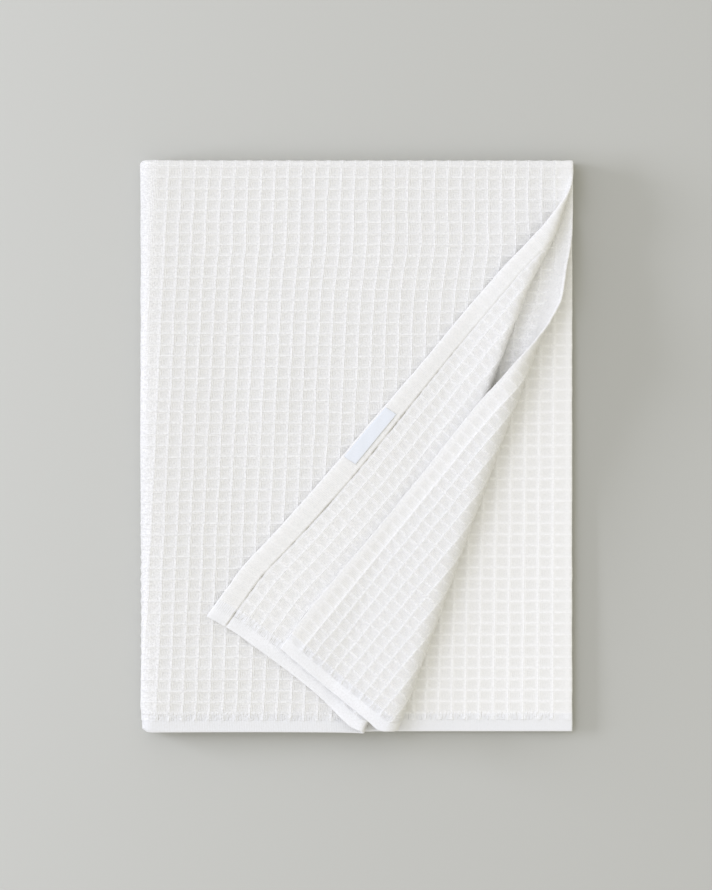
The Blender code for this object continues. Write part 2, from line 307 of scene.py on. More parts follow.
@dataclass(frozen=True)
class TurnedCorner:
    """A corner of an upper layer that is turned back on the layer.

    start is how far down the side hem its fold line begins, lean the angle of that line from
    the side hem, rest the height of the turned cloth over its own layer, and run the length
    over which it settles from the roll to that height. The cloth is pulled inwards, and its
    hem is wider by spread. It is longer by stretch, a share of the length, and by end, a
    length that only its last stretch has.
    """

    stack: Stack
    start: float
    rest: float
    run: float
    offset: Curve
    radius: Curve
    pull: Curve
    spread: Curve
    stretch: Curve
    end: Curve
    end_reach: float = 0.045
    hem: float = 0.0155
    lean: float = math.radians(20.05)
    least_angle: float = 0.001

    def pulled(self, across: Array, down: Array) -> tuple[Array, Array]:
        """Gives where places of the layer lie in its own plane before the corner is turned."""
        s = self.stack
        x = s.right - across - self.pull.at(down) * (1 - across / s.upper_width)
        x += self.spread.at(down) * np.maximum(1 - across / self.hem, 0.0)
        near_end = smooth((down - s.length) / self.end_reach + 1)
        longer = down * self.stretch.at(across) + self.end.at(across) * near_end
        return x, s.top - down - longer

    def fold_place(self, x: Array, y: Array) -> tuple[Array, Array]:
        """Gives the distance along the fold line and the distance past it."""
        right = x - self.stack.right
        up = y - (self.stack.top - self.start)
        along = -right * math.sin(self.lean) - up * math.cos(self.lean)
        past = right * math.cos(self.lean) - up * math.sin(self.lean)
        return along, past - self.offset.at(along)

    def turned(self, past: Array, radius: Array) -> tuple[Array, Array]:
        """Rolls the cloth that lies past the fold line back over the layer.

        Args:
            past: distances past the fold line.
            radius: radii of the roll.

        Returns:
            The places across the fold line and the rise over the layer.
        """
        angle = np.maximum((2 * radius - self.rest) / self.run, self.least_angle)
        arc = radius * (math.pi + angle)
        turn = np.clip(past, 0.0, arc) / radius
        foot = self.run / 2
        drop = radius * (1 + np.cos(angle)) - self.rest - foot * (1 - np.cos(angle))
        slope_length = np.maximum(drop, 0.0) / np.sin(angle)
        on_slope = np.clip(past - arc, 0.0, slope_length)
        past_slope = np.maximum(past - arc - slope_length, 0.0)
        bend = np.minimum(past_slope / foot, angle)
        reach = radius * np.sin(turn) - on_slope * np.cos(angle)
        reach -= foot * (np.sin(angle) - np.sin(angle - bend))
        reach -= np.maximum(past_slope - foot * angle, 0.0)
        rise = radius * (1 - np.cos(turn)) - on_slope * np.sin(angle)
        rise -= foot * (np.cos(angle - bend) - np.cos(angle))
        return np.where(past > 0, reach, past), np.where(past > 0, rise, 0.0)

    def turn(self, across: Array, down: Array) -> tuple[Array, Array, Array]:
        """Gives the places seen from above, and the rise, of places of the layer."""
        x, y = self.pulled(across, down)
        along, past = self.fold_place(x, y)
        reach, rise = self.turned(past, self.radius.at(along))
        shift = reach - past
        return x + shift * math.cos(self.lean), y - shift * math.sin(self.lean), rise

    def past(self, across: Array, down: Array) -> Array:
        """Gives the distance past the fold line of places of the layer."""
        return self.fold_place(*self.pulled(across, down))[1]


@dataclass(frozen=True)
class FoldedCloth:
    """The whole cloth, folded over its end, over its side, and at its two corners."""

    stack: Stack
    top_corner: TurnedCorner
    second_corner: TurnedCorner
    feel: float = 0.0003

    def place(self, across: Array, along: Array) -> Array:
        """Places the middle of the cloth.

        Args:
            across: places across the flat cloth.
            along: places along the flat cloth.

        Returns:
            The places in space, one row of three numbers for each.
        """
        s = self.stack
        turn = math.pi * np.clip((along - s.flat_length) / s.end_arc, 0.0, 1.0)
        inner = turn > math.pi / 2
        down = s.length - np.where(inner, s.cloth_length - along, along)
        flat_end = s.top - (s.pitch + s.thickness) / 2
        y = np.minimum(s.top - down, flat_end)
        half_gap = (s.pitch + s.end_puff(y)) / 2
        shift_y, side = half_gap * np.sin(turn), half_gap * np.cos(turn)
        bending = (turn > 0) & (turn < math.pi)
        down = np.where(bending, s.top - flat_end, down)

        outer_x, outer_y, outer_rise = self.top_corner.turn(across, down)
        inner_x, inner_y, inner_rise = self.second_corner.turn(across, down)
        upper_x = np.where(inner, inner_x, outer_x)
        upper_y = np.where(inner, inner_y, outer_y)
        top, second = s.heights(upper_x, upper_y)[:2]
        upper_z = np.where(bending, (top + second) / 2 + side, np.where(inner, second, top))
        upper_z = upper_z + np.where(inner, inner_rise, outer_rise)

        fold_x = np.full_like(across, s.left + s.side_fold_radius)
        top, second, third, lowest = s.heights(fold_x, y)
        turn_radius = (top + second - third - lowest) / 4 + side
        angle = math.pi * np.clip((across - s.upper_width) / s.side_arc, 0.0, 1.0)
        width = s.side_fold_radius - s.thickness / 2 - (s.pitch / 2 - side)
        side_x = fold_x - width * np.sin(angle)
        side_z = (top + lowest) / 2 + turn_radius * np.cos(angle)
        lower_x = fold_x + across - s.upper_width - s.side_arc
        lower_z = (third + lowest) / 2 - side

        upper = across < s.upper_width
        lower = across > s.upper_width + s.side_arc
        x = np.where(upper, upper_x, np.where(lower, lower_x, side_x))
        z = np.where(upper, upper_z, np.where(lower, lower_z, side_z))
        y = np.where(upper, upper_y, y) + shift_y
        return np.stack((x, y, z), axis=-1)

    def normal(self, across: Array, along: Array) -> Array:
        """Gives the direction in which the right side of the cloth faces."""
        d = self.feel
        run_across = self.place(across + d, along) - self.place(across - d, along)
        run_along = self.place(across, along + d) - self.place(across, along - d)
        return unit(np.cross(run_along, run_across))


@dataclass(frozen=True)
class Waffle:
    """The waffle weave with its hems and bands: its cells, its relief, and its painted shade and
    highlights.
    """

    stack: Stack
    cells_across: int = 62
    cells_along: int = 99
    hem: float = 0.0155
    band: float = 0.0165
    fractions: tuple[float, ...] = (0.0, 0.045, 0.12, 0.28, 0.5, 0.72, 0.88, 0.955)
    profile: Curve = Curve((0.0, 0.045, 0.12, 0.28, 0.5), (1.0, 0.86, 0.64, 0.34, 0.0))
    row_height: float = 0.94
    column_noise: SoftNoise = SoftNoise(21, 0.012, 0.005, 0.05)
    row_noise: SoftNoise = SoftNoise(22, 0.006, 0.010, 0.06)
    crest: float = 0.0015
    depth: float = 0.00125

    hem_lines: tuple[float, ...] = (
        0.0, 0.0003, 0.0008, 0.0016, 0.0030, 0.0050, 0.0075, 0.0100, 0.0122, 0.0137,
        0.0146, 0.0151,
    )
    hem_coarse: tuple[int, ...] = (0, 4, 7)
    band_lines: tuple[float, ...] = (
        0.0, 0.0003, 0.0008, 0.0016, 0.0030, 0.0038, 0.0070, 0.0098, 0.0105, 0.0120, 0.0135,
        0.0150, 0.0161,
    )
    band_coarse: tuple[int, ...] = (0, 4, 8)
    bend_lines: int = 10
    bend_clear: tuple[float, float] = (0.00025, 0.0002)

    column_lean: Curve = Curve(
        (0.0, 0.10, 0.20, 0.37, 0.45, 0.60, 0.7516), (0.0, 0.018, 0.036, 0.046, 0.02, 0.0, 0.0)
    )
    inner_lean: Curve = Curve(
        (0.0, 0.10, 0.20, 0.37, 0.50, 0.66, 0.7516), (0.0, 0.0, 0.0, 0.0, 0.0, -0.018, 0.0)
    )
    row_shift: Curve = Curve(
        (0.0, 0.03, 0.10, 0.20, 0.30, 0.38, 0.45, 0.499),
        (0.0, 0.0, 0.003, 0.008, 0.013, 0.0125, 0.006, 0.0),
    )
    row_shift_reach: tuple[float, float] = (0.36, 0.02)
    free_length: float = 0.01
    wander: tuple[SoftNoise, ...] = (
        SoftNoise(11, 0.034, 0.017, 0.00045), SoftNoise(12, 0.011, 0.006, 0.00022),
    )
    sway: tuple[SoftNoise, ...] = (
        SoftNoise(13, 0.019, 0.040, 0.00045), SoftNoise(14, 0.007, 0.010, 0.00025),
    )
    edge_noise: SoftNoise = SoftNoise(15, 0.05, 0.010, 0.00018)
    edge_noise_reach: float = 0.004

    off_side_fold: Ramp = Ramp(0.009, 0.013, 0.14)
    off_end_fold: Ramp = Ramp(0.003, 0.014, 0.30)
    off_hem: Ramp = Ramp(0.0050, 0.0060, 0.60)
    relief_noise: SoftNoise = SoftNoise(23, 0.06, 0.05, 0.15)
    lower_loss: float = 0.40
    wrong_share: float = 0.85
    most: float = 1.04

    woven: Ramp = Ramp(0.0098, 0.0008)
    band_height: float = 0.0009
    band_fold: float = 0.00010
    band_fold_place: float = 0.0038
    edge_radii: tuple[float, float] = (0.0014, 0.0010)
    edge_share: float = 0.25
    off_turned_hem: Ramp = Ramp(0.0151, 0.0012)
    hem_wrong: float = 0.00148
    hem_crown: float = 0.00035
    hem_rib: float = 0.00007
    hem_dents: SoftNoise = SoftNoise(34, 0.05, 0.004, 0.00012)

    groove_place: float = 0.0157
    groove_width: float = 0.0010
    groove_depth: float = 0.0022
    groove_loss: float = 0.0013
    groove_open: Ramp = Ramp(0.05, 0.26, 0.22)
    groove_mean: float = 0.8
    groove_noise: SoftNoise = SoftNoise(31, 0.05, 0.004, 0.45)
    # Painted shadow in the groove beside the turned hem: how far it darkens the shade.
    painted_groove_shadow: float = 2.4

    band_shade: float = 0.62
    band_turned: float = 0.34
    band_mottle: SoftNoise = SoftNoise(35, 0.013, 0.010, 0.16)
    right_hem: Ramp = Ramp(0.0080, 0.0040)
    right_hem_shade: float = 0.20
    turned_loss: float = 0.25
    # Tone of the turned hem: darker overall and over its crown, with painted shade in the dents
    # between the rows.
    hem_shades: tuple[float, float, float] = (0.10, 0.30, 0.12)

    @property
    def pitch_across(self) -> float:
        """The width of one cell."""
        return (self.stack.cloth_width - 2 * self.hem) / self.cells_across

    @property
    def pitch_along(self) -> float:
        """The length of one cell."""
        return (self.stack.cloth_length - 2 * self.band) / self.cells_along

    @property
    def loops_start(self) -> float:
        """The distance from the end of the cloth at which the plain band ends."""
        return self.woven.start + self.woven.length / 2

    def lines_across(self) -> tuple[Array, Array]:
        """Gives the grid lines across the cloth, and which of them are coarse ones."""
        return self.lines(
            self.hem_lines, self.hem_coarse, self.cells_across, self.pitch_across,
            self.stack.cloth_width,
        )

    def lines_along(self) -> tuple[Array, Array]:
        """Gives the grid lines along the cloth, closer at the end fold, and the coarse ones."""
        places, coarse = self.lines(
            self.band_lines, self.band_coarse, self.cells_along, self.pitch_along,
            self.stack.cloth_length,
        )
        bend = self.stack.flat_length + self.stack.end_arc * np.linspace(0, 1, self.bend_lines)
        gaps = np.abs(places[:, None] - bend[None, :])
        kept = coarse | (gaps.min(axis=1) > self.bend_clear[0])
        bend = bend[gaps[coarse].min(axis=0) > self.bend_clear[1]]
        places = np.concatenate((places[kept], bend))
        coarse = np.concatenate((coarse[kept], np.zeros(len(bend), bool)))
        order = np.argsort(places)
        return places[order], coarse[order]

    def lines(
        self, edge: tuple[float, ...], edge_coarse: tuple[int, ...], cells: int, pitch: float,
        size: float,
    ) -> tuple[Array, Array]:
        """Lays grid lines over one direction of the cloth.

        Args:
            edge: lines within the hem or band.
            edge_coarse: which of them are coarse ones.
            cells: number of cells between the two hems or bands.
            pitch: size of a cell.
            size: size of the cloth.

        Returns:
            The lines, and which of them are coarse ones.
        """
        start = (size - cells * pitch) / 2
        parts = np.arange(cells)[:, None] + np.array(self.fractions)[None, :]
        inner = np.append(start + parts.ravel() * pitch, start + cells * pitch)
        inner_coarse = np.zeros(len(inner), bool)
        inner_coarse[:: len(self.fractions) // 2] = True
        outer = np.array(edge)
        outer_coarse = np.isin(np.arange(len(edge)), edge_coarse)
        places = np.concatenate((outer, inner, size - outer[::-1]))
        return places, np.concatenate((outer_coarse, inner_coarse, outer_coarse[::-1]))

    def grain(self, at: Places) -> Places:
        """Gives where the lines of the weave lie on the cloth, leaning and slightly uneven.

        Args:
            at: places counted in the weave's own lines.

        Returns:
            The places on the cloth.
        """
        lean = np.where(at.inner, self.inner_lean.at(at.across), self.column_lean.at(at.across))
        reach = self.row_shift_reach[0] * at.down + self.row_shift_reach[1]
        share = np.clip(1 - at.across / reach, 0.0, 1.0)
        shift = np.where(at.inner, 0.0, self.row_shift.at(at.down) * share)
        free = smooth((at.from_hem - self.hem) / self.free_length)
        free = free * smooth((at.from_end - self.band) / self.free_length)
        wander = sum(noise.at(at) for noise in self.wander) * free
        sway = sum(noise.at(at) for noise in self.sway) * free
        edge = self.edge_noise.at(at) * (1 - smooth(at.from_hem / self.edge_noise_reach))
        across = at.across + lean * at.down + wander + edge
        return Places(self.stack, across, at.along + shift + sway)

    def cell(self, at: Places) -> tuple[Array, Array]:
        """Gives places counted in cells from the first cell at the hem and band."""
        across, along = at.across - self.hem, at.along - self.band
        return across / self.pitch_across, along / self.pitch_along

    def weave(self, at: Places) -> Array:
        """Gives the height of the weave, from 0 in the pockets to 1 on the ridges."""
        heights = [self.profile.at(np.abs(part - np.round(part))) for part in self.cell(at)]
        column = heights[0] * (1 + self.column_noise.at(at))
        row = self.row_height * heights[1] * (1 + self.row_noise.at(at))
        return np.maximum(column, row)

    def calm(self, face: Face, at: Places) -> Array:
        """Gives the share of the full relief at places: less on folds, hems and lower layers."""
        share = self.off_side_fold.at(at.from_fold) * self.off_end_fold.at(at.down)
        share = share * (1 - self.lower_loss * at.lower) * (1 + self.relief_noise.at(at))
        face_share = self.off_hem.at(at.from_hem) if face is Face.RIGHT else self.wrong_share
        return np.minimum(share * face_share, self.most)

    def crown(self, at: Places) -> Array:
        """Gives how far places stand on the crown of the turned hem, from 0 to 1."""
        return np.sin(math.pi * np.clip(at.from_hem / self.hem, 0.0, 1.0))

    def rib(self, at: Places) -> Array:
        """Gives the rows of cells that press through the hem, from -1 to 1."""
        return np.cos(2 * math.pi * self.cell(at)[1])

    def turned_hem(self, height: Array, at: Places) -> Array:
        """Adds the hem that is turned over to the wrong side, with the groove beside it."""
        dents = self.hem_crown + self.hem_rib * self.rib(at) + self.hem_dents.at(at)
        hem = self.hem_wrong - self.hem_crown + self.crown(at) * dents
        step = self.off_turned_hem.at(at.from_hem)
        depth = self.groove_depth - self.groove_loss * (1 - self.woven.at(at.from_end))
        return hem * (1 - step) + height * step - depth * self.groove(at)

    def groove(self, at: Places) -> Array:
        """Gives the share of the full depth of the groove beside the turned hem."""
        near = hump(at.from_hem, self.groove_place, self.groove_width)
        return near * self.groove_open.at(at.down) * (self.groove_mean + self.groove_noise.at(at))

    def shade(self, face: Face, at: Places, contrast: Array, turned: Array) -> Array:
        """Gives how light the weave is painted: 1 on its ridges as a painted highlight, less in
        its pockets as painted shade and in the groove as a painted shadow.

        Args:
            face: right or wrong side of the cloth.
            at: places counted in the weave's own lines.
            contrast: share of the full painted pocket shade at the places.
            turned: share of the turned cloth at the places, whose bands are lighter.

        Returns:
            The values.
        """
        # Painted shade: the pockets are darkened by the contrast share.
        low = (1 - self.weave(at)) * contrast
        woven = self.woven.at(at.from_end)
        lighter = (self.band_turned + self.band_mottle.at(at)) * turned
        band = (1 - woven) * (self.band_shade - lighter)
        if face is Face.RIGHT:
            on_hem = self.right_hem_shade * (1 - self.right_hem.at(at.from_hem))
            return 1 - band - (low * self.off_hem.at(at.from_hem) + on_hem) * woven
        step = self.off_turned_hem.at(at.from_hem)
        plain, crown, rib = self.hem_shades
        # The hem is darker over its crown, and darker between the rows as painted shade in the
        # dents.
        hem = plain + crown * self.crown(at) + rib * (0.5 - 0.5 * self.rib(at))
        low = low * (1 - self.turned_loss * turned) * woven + band
        # The groove beside the turned hem takes a painted shadow.
        return 1 - low * step - hem * (1 - step) - self.painted_groove_shadow * self.groove(at)

    def height(self, face: Face, at: Places, share: Array) -> Array:
        """Gives the height of one face over the middle of the cloth.

        Args:
            face: right or wrong side of the cloth.
            at: places counted in the weave's own lines.
            share: share of the relief that is left at the places.

        Returns:
            The heights.
        """
        height = self.crest - self.depth * self.calm(face, at) * share * (1 - self.weave(at))
        step = self.woven.at(at.from_end)
        fold = self.band_fold * hump(at.from_end, self.band_fold_place, self.woven.length)
        height = (self.band_height - fold) * (1 - step) + height * step
        if face is Face.WRONG:
            height = self.turned_hem(height, at)
        for distance, radius in zip((at.from_hem, at.from_end), self.edge_radii):
            inwards = np.clip(distance / radius, 0.0, 1.0)
            round_edge = np.sqrt(1 - (1 - inwards) ** 2)
            height = height * (self.edge_share + (1 - self.edge_share) * round_edge)
        return height


@dataclass
class ClothGrid:
    """Both faces of the folded cloth on the grid lines of its weave.

    flat holds the grid counted in the weave's own lines, and laid where it lies on the cloth.
    The rolls of the two turned corners have less relief around a place past the fold line.
    """

    cloth: FoldedCloth
    waffle: Waffle
    turn_length: float = 0.012
    outer_roll: tuple[float, float] = (0.0075, 0.011)
    inner_roll: tuple[float, float] = (0.019, 0.016)
    roll_loss: float = 0.65
    turned_contrast: float = 0.90
    lower_contrast: float = 0.90
    off_side_fold: Ramp = Ramp(0.009, 0.013, 0.25)
    contrast_noise: SoftNoise = SoftNoise(24, 0.05, 0.06, 0.15)
    thread_share: float = 1.35
    lower_thread_loss: float = 0.70
    wrong_thread_loss: float = 0.15
    thread_on_band: Ramp = Ramp(0.0102, 0.001, 0.55)
    thread_on_hem: Ramp = Ramp(0.0150, 0.001, 0.70)
    thin_band: tuple[float, float] = (0.0006, 0.0018)
    fold_reach: float = 0.020
    drawn_in: tuple[float, float] = (0.0008, 0.005)
    drawn_corner: tuple[float, float] = (0.0035, 0.0045)

    def __post_init__(self) -> None:
        """Lays out the grid, folds it and gives both faces their relief."""
        waffle, stack = self.waffle, self.cloth.stack
        columns, coarse_columns = waffle.lines_across()
        rows, coarse_rows = waffle.lines_along()
        self.coarse_across = np.flatnonzero(coarse_columns)
        self.coarse_along = np.flatnonzero(coarse_rows)
        self.flat = Places(stack, *np.meshgrid(columns, rows, indexing="ij"))
        self.laid = laid = waffle.grain(self.flat)
        self.middles = self.cloth.place(laid.across, laid.along) + self.settle() + self.soften()
        outward = self.cloth.normal(laid.across, laid.along)
        past = self.past()
        upper = laid.across < stack.upper_width
        turned = smooth(past / self.turn_length) * upper
        contrast = self.contrast(turned)
        share = self.roll_share(past, upper)
        self.places: dict[Face, Array] = {}
        self.normals: dict[Face, Array] = {}
        # shade holds the painted shade and highlights of the weave; grain holds how strongly the
        # threads show.
        self.values: dict[str, dict[Face, Array]] = {"shade": {}, "grain": {}}
        for face in Face:
            self.values["shade"][face] = waffle.shade(face, self.flat, contrast, turned)
            self.values["grain"][face] = self.threads(face)
            height = waffle.height(face, self.flat, share)
            places = self.middles + face.value * outward * height[..., None]
            places[..., 2] = np.maximum(places[..., 2], 0.0)
            self.places[face] = places
            self.normals[face] = face.value * self.face_normals(places)

    def past(self) -> Array:
        """Gives the distance past the fold line of the corner of the layer, in metres."""
        corners = (self.cloth.second_corner, self.cloth.top_corner)
        inner, outer = (corner.past(self.laid.across, self.laid.down) for corner in corners)
        return np.where(self.laid.inner, inner, outer)

    def roll_share(self, past: Array, upper: Array) -> Array:
        """Gives the share of the relief that is left on the rolls of the turned corners."""
        rolls = zip(self.inner_roll, self.outer_roll)
        middle, reach = (np.where(self.laid.inner, *roll) for roll in rolls)
        return 1 - self.roll_loss * hump(past, middle, reach) * upper

    def contrast(self, turned: Array) -> Array:
        """Gives the share of the painted pocket shade of the weave, less on turned and lower
        cloth.
        """
        share = 1 - (1 - self.turned_contrast) * turned
        share = share * (1 - (1 - self.lower_contrast) * self.laid.lower)
        share = share * self.off_side_fold.at(self.laid.from_fold)
        return share * (1 + self.contrast_noise.at(self.laid))

    def threads(self, face: Face) -> Array:
        """Gives how strongly the single threads show."""
        share = self.thread_share - self.lower_thread_loss * self.laid.lower
        if face is Face.WRONG:
            share = share - self.wrong_thread_loss
        share = share * self.thread_on_band.at(self.laid.from_end)
        return share * self.thread_on_hem.at(self.laid.from_hem)

    def settle(self) -> Array:
        """Lets the thin bands of the lowest layer lie on the surface."""
        waffle, stack = self.waffle, self.cloth.stack
        start, length = self.thin_band
        thin = 1 - smooth((self.laid.along - waffle.band + start) / length)
        lowest = self.flat.across > stack.upper_width + stack.side_arc
        drop = (stack.thickness / 2 - waffle.band_height) * thin * lowest
        return np.stack((0 * drop, 0 * drop, -drop), axis=-1)

    def soften(self) -> Array:
        """Draws the side fold in beside the thin bands and rounds its corners."""
        near_fold = 1 - smooth(self.laid.from_fold / self.fold_reach)
        from_end = self.laid.from_end
        depth, length = self.drawn_in
        inwards = depth * (1 - smooth((from_end - self.waffle.band) / length))
        depth, length = self.drawn_corner
        inwards = (inwards + depth * (1 - smooth(from_end / length)) ** 2) * near_fold
        return np.stack((inwards, 0 * inwards, 0 * inwards), axis=-1)

    @staticmethod
    def face_normals(places: Array) -> Array:
        """Gives the smooth normals of a grid of places."""
        columns = np.diff(places, axis=0)
        rows = np.diff(places, axis=1)
        quads = unit(np.cross(rows[:-1] + rows[1:], columns[:, :-1] + columns[:, 1:]))
        total = np.zeros_like(places)
        for i in (slice(None, -1), slice(1, None)):
            for j in (slice(None, -1), slice(1, None)):
                total[i, j] += quads
        return unit(total)

    def block_values(self, values: Array) -> Array:
        """Reads values at the middles of the coarse blocks of the grid."""
        i, j = self.coarse_across, self.coarse_along
        return values[np.ix_((i[:-1] + i[1:]) // 2, (j[:-1] + j[1:]) // 2)]


def make_object(
    name: str, places: Array, rings: list[Array], cells: Array, material: bpy.types.Material
) -> bpy.types.Object:
    """Makes a smooth object with its weave map and material.

    Args:
        name: name of the object.
        places: places of its vertices.
        rings: vertices round each of its faces.
        cells: places of its vertices on the weave map.
        material: its finish.

    Returns:
        The object.
    """
    loops = np.concatenate(rings).astype(np.int32)
    sizes = np.array([len(ring) for ring in rings])
    starts = np.concatenate(([0], np.cumsum(sizes)[:-1]))
    mesh = bpy.data.meshes.new(name)
    mesh.from_pydata(places, [], [])
    mesh.loops.add(len(loops))
    mesh.polygons.add(len(sizes))
    mesh.loops.foreach_set("vertex_index", loops)
    mesh.polygons.foreach_set("loop_start", starts.astype(np.int32))
    mesh.update(calc_edges=True)
    mesh.validate()
    mesh.polygons.foreach_set("use_smooth", np.ones(len(sizes), bool))
    weave_map = mesh.uv_layers.new(name="weave")
    weave_map.data.foreach_set("uv", cells[loops].astype(np.float32).ravel())
    mesh.materials.append(material)
    made = bpy.data.objects.new(name, mesh)
    bpy.context.scene.collection.objects.link(made)
    return made


@dataclass
class ClothPiece:
    """One closed piece of the cloth: the blocks it takes, and those with fine relief."""

    name: str
    grid: ClothGrid
    blocks: Array
    fine: dict[Face, Array]

    def vertex(self, face: Face, i: Array, j: Array) -> Array:
        """Gives the number of a grid place on one face."""
        columns, rows = self.grid.flat.across.shape
        return (0 if face is Face.RIGHT else columns * rows) + i * rows + j

    def is_kept(self, p: int, q: int) -> bool:
        """Tells whether a block belongs to the piece."""
        inside = 0 <= p < self.blocks.shape[0] and 0 <= q < self.blocks.shape[1]
        return inside and bool(self.blocks[p, q])

    def sides(self, p: int, q: int) -> list[tuple[int, int, list[tuple[int, int]]]]:
        """Gives the four sides of a block in order round its right face.

        Args:
            p: number of the block across.
            q: number of the block along.

        Returns:
            For each side the neighbouring block and the fine grid places along it.
        """
        i0, i1 = self.grid.coarse_across[p : p + 2]
        j0, j1 = self.grid.coarse_along[q : q + 2]
        return [
            (p - 1, q, [(i0, j) for j in range(j0, j1 + 1)]),
            (p, q + 1, [(i, j1) for i in range(i0, i1 + 1)]),
            (p + 1, q, [(i1, j) for j in range(j1, j0 - 1, -1)]),
            (p, q - 1, [(i, j0) for i in range(i1, i0 - 1, -1)]),
        ]

    def chain(self, face: Face, blocks: list[tuple[int, int]], side: list) -> list[int]:
        """Gives a side's vertices on a face, with the fine ones if a block beside it has them."""
        near = any(self.is_kept(p, q) and self.fine[face][p, q] for p, q in blocks)
        return [self.vertex(face, i, j) for i, j in (side if near else [side[0], side[-1]])]

    def coarse_rings(self) -> tuple[list[list[int]], list[bool]]:
        """Gives the coarse faces of all blocks, with rims where the piece ends.

        Returns:
            The vertices round each face, and which faces are rims.
        """
        rings, is_rim = [], []
        for p, q in np.argwhere(self.blocks):
            sides = self.sides(p, q)
            for face in Face:
                if not self.fine[face][p, q]:
                    chains = [self.chain(face, [(p, q), (a, b)], side) for a, b, side in sides]
                    ring = [vertex for chain in chains for vertex in chain[:-1]]
                    rings.append(ring[:: face.value])
                    is_rim.append(False)
            for a, b, side in sides:
                if not self.is_kept(a, b):
                    right, wrong = (self.chain(face, [(p, q)], side) for face in Face)
                    rings.append(right[::-1] + wrong)
                    is_rim.append(True)
        return rings, is_rim

    def fine_quads(self, face: Face) -> Array:
        """Gives the small faces of all blocks with fine relief on one face."""
        grid = self.grid
        spans = [np.diff(grid.coarse_across), np.diff(grid.coarse_along)]
        mask = np.repeat(np.repeat(self.blocks & self.fine[face], spans[0], 0), spans[1], 1)
        i, j = np.nonzero(mask)
        i, j = i + grid.coarse_across[0], j + grid.coarse_along[0]
        corners = [(i, j), (i, j + 1), (i + 1, j + 1), (i + 1, j)]
        quads = np.stack([self.vertex(face, a, b) for a, b in corners], axis=1)
        return quads[:, :: face.value]

    def build(self, material: bpy.types.Material) -> bpy.types.Object:
        """Makes the piece as a closed mesh with its weave map, relief and normals.

        Args:
            material: the finish of the cloth.

        Returns:
            The piece.
        """
        grid = self.grid
        rings, is_rim = self.coarse_rings()
        for face in Face:
            rings.extend(self.fine_quads(face))
        used, numbers = np.unique(np.concatenate(rings), return_inverse=True)
        rings = np.split(numbers, np.cumsum([len(ring) for ring in rings])[:-1])
        places, normals = (self.of_used(of_face, used) for of_face in (grid.places, grid.normals))
        cells = np.stack([part.ravel() for part in grid.waffle.cell(grid.flat)], axis=1)
        made = make_object(self.name, places, rings, np.tile(cells, (2, 1))[used], material)
        for name, of_face in grid.values.items():
            attribute = made.data.attributes.new(name, "FLOAT", "POINT")
            value = self.of_used(of_face, used).astype(np.float32)
            attribute.data.foreach_set("value", value)
        loop_normals = normals[numbers]
        start = 0
        for ring, rim in zip(rings, is_rim):
            if rim:
                corners = places[ring]
                outward = np.cross(corners, np.roll(corners, -1, axis=0)).sum(axis=0)
                loop_normals[start : start + len(ring)] = unit(outward)
            start += len(ring)
        made.data.normals_split_custom_set(loop_normals)
        return made

    @staticmethod
    def of_used(of_face: dict[Face, Array], used: Array) -> Array:
        """Gives the values of the used vertices."""
        rows = [of_face[face].reshape(-1, *of_face[face].shape[2:]) for face in Face]
        return np.concatenate(rows)[used]


@dataclass
class Blanket:
    """The whole blanket: one cloth, made in pieces that meet where no seam shows."""

    cloth: FoldedCloth
    waffle: Waffle
    node: str = "blanket"
    slot: str = "waffle_cotton"
    lap: float = 0.020
    near_edge: float = 0.03
    near_start: float = 0.06
    top_margin: float = 0.3
    second_margin: float = 0.25
    top_roll: float = 0.03
    second_roll: float = 0.02
    second_reach: float = 0.20
    third_start: float = 0.02
    third_end: float = 0.18

    def build(self, material: bpy.types.Material) -> list[bpy.types.Object]:
        """Builds every piece of the cloth, hides the model's blanket part and attaches each piece
        to the root body.

        Args:
            material: the finish of the cloth.

        Returns:
            The pieces.
        """
        grid = ClothGrid(self.cloth, self.waffle)
        s = self.cloth.stack
        at = Places(s, grid.block_values(grid.flat.across), grid.block_values(grid.flat.along))
        u = self.waffle.grain(at).across
        x, y = (grid.block_values(grid.middles[..., axis]) for axis in (0, 1))
        outer = at.along < s.flat_length + s.end_arc + self.lap
        upper = u < s.upper_width + s.side_arc + self.lap
        top_past = self.cloth.top_corner.past(u, at.down)
        second_past = self.cloth.second_corner.past(u, at.down)
        start = np.clip(at.down, 0.0, self.near_start)
        top_turned = top_past > -self.top_margin * start
        second_turned = second_past > -self.second_margin * start
        all_on = np.ones_like(outer)
        by_end_fold = at.along > s.flat_length - self.near_edge
        wraps = ((u > s.upper_width - self.near_edge) | by_end_fold) & outer
        lower_hem = u > s.cloth_width - self.near_edge
        second_seen = (x > 0.0) & (u < self.second_reach)
        third_seen = (x > self.third_start) & (y < self.third_end) | lower_hem
        parts = [
            ("top_layer", outer & upper & ~top_turned, all_on, ~all_on),
            ("top_corner", outer & upper & top_turned, top_past < self.top_roll, all_on),
            ("lowest_layer", outer & ~upper, all_on, lower_hem),
            ("second_layer", ~outer & upper & ~second_turned, ~all_on, second_seen),
            ("second_corner", ~outer & upper & second_turned, all_on, top_past < self.second_roll),
            ("third_layer", ~outer & ~upper, third_seen, lower_hem),
        ]
        made = []
        for name, blocks, fine_right, fine_wrong in parts:
            fine = {Face.RIGHT: fine_right | wraps, Face.WRONG: fine_wrong}
            piece = ClothPiece(f"blanket.{name}", grid, blocks, fine)
            made.append(self.declare(piece, material))
        return made

    def declare(self, piece: ClothPiece, material: bpy.types.Material) -> bpy.types.Object:
        """Builds one piece, hides the model's blanket part and attaches the piece to the root
        body.
        """
        made = piece.build(material)
        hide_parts(self.node)
        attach(made, "root")
        return made


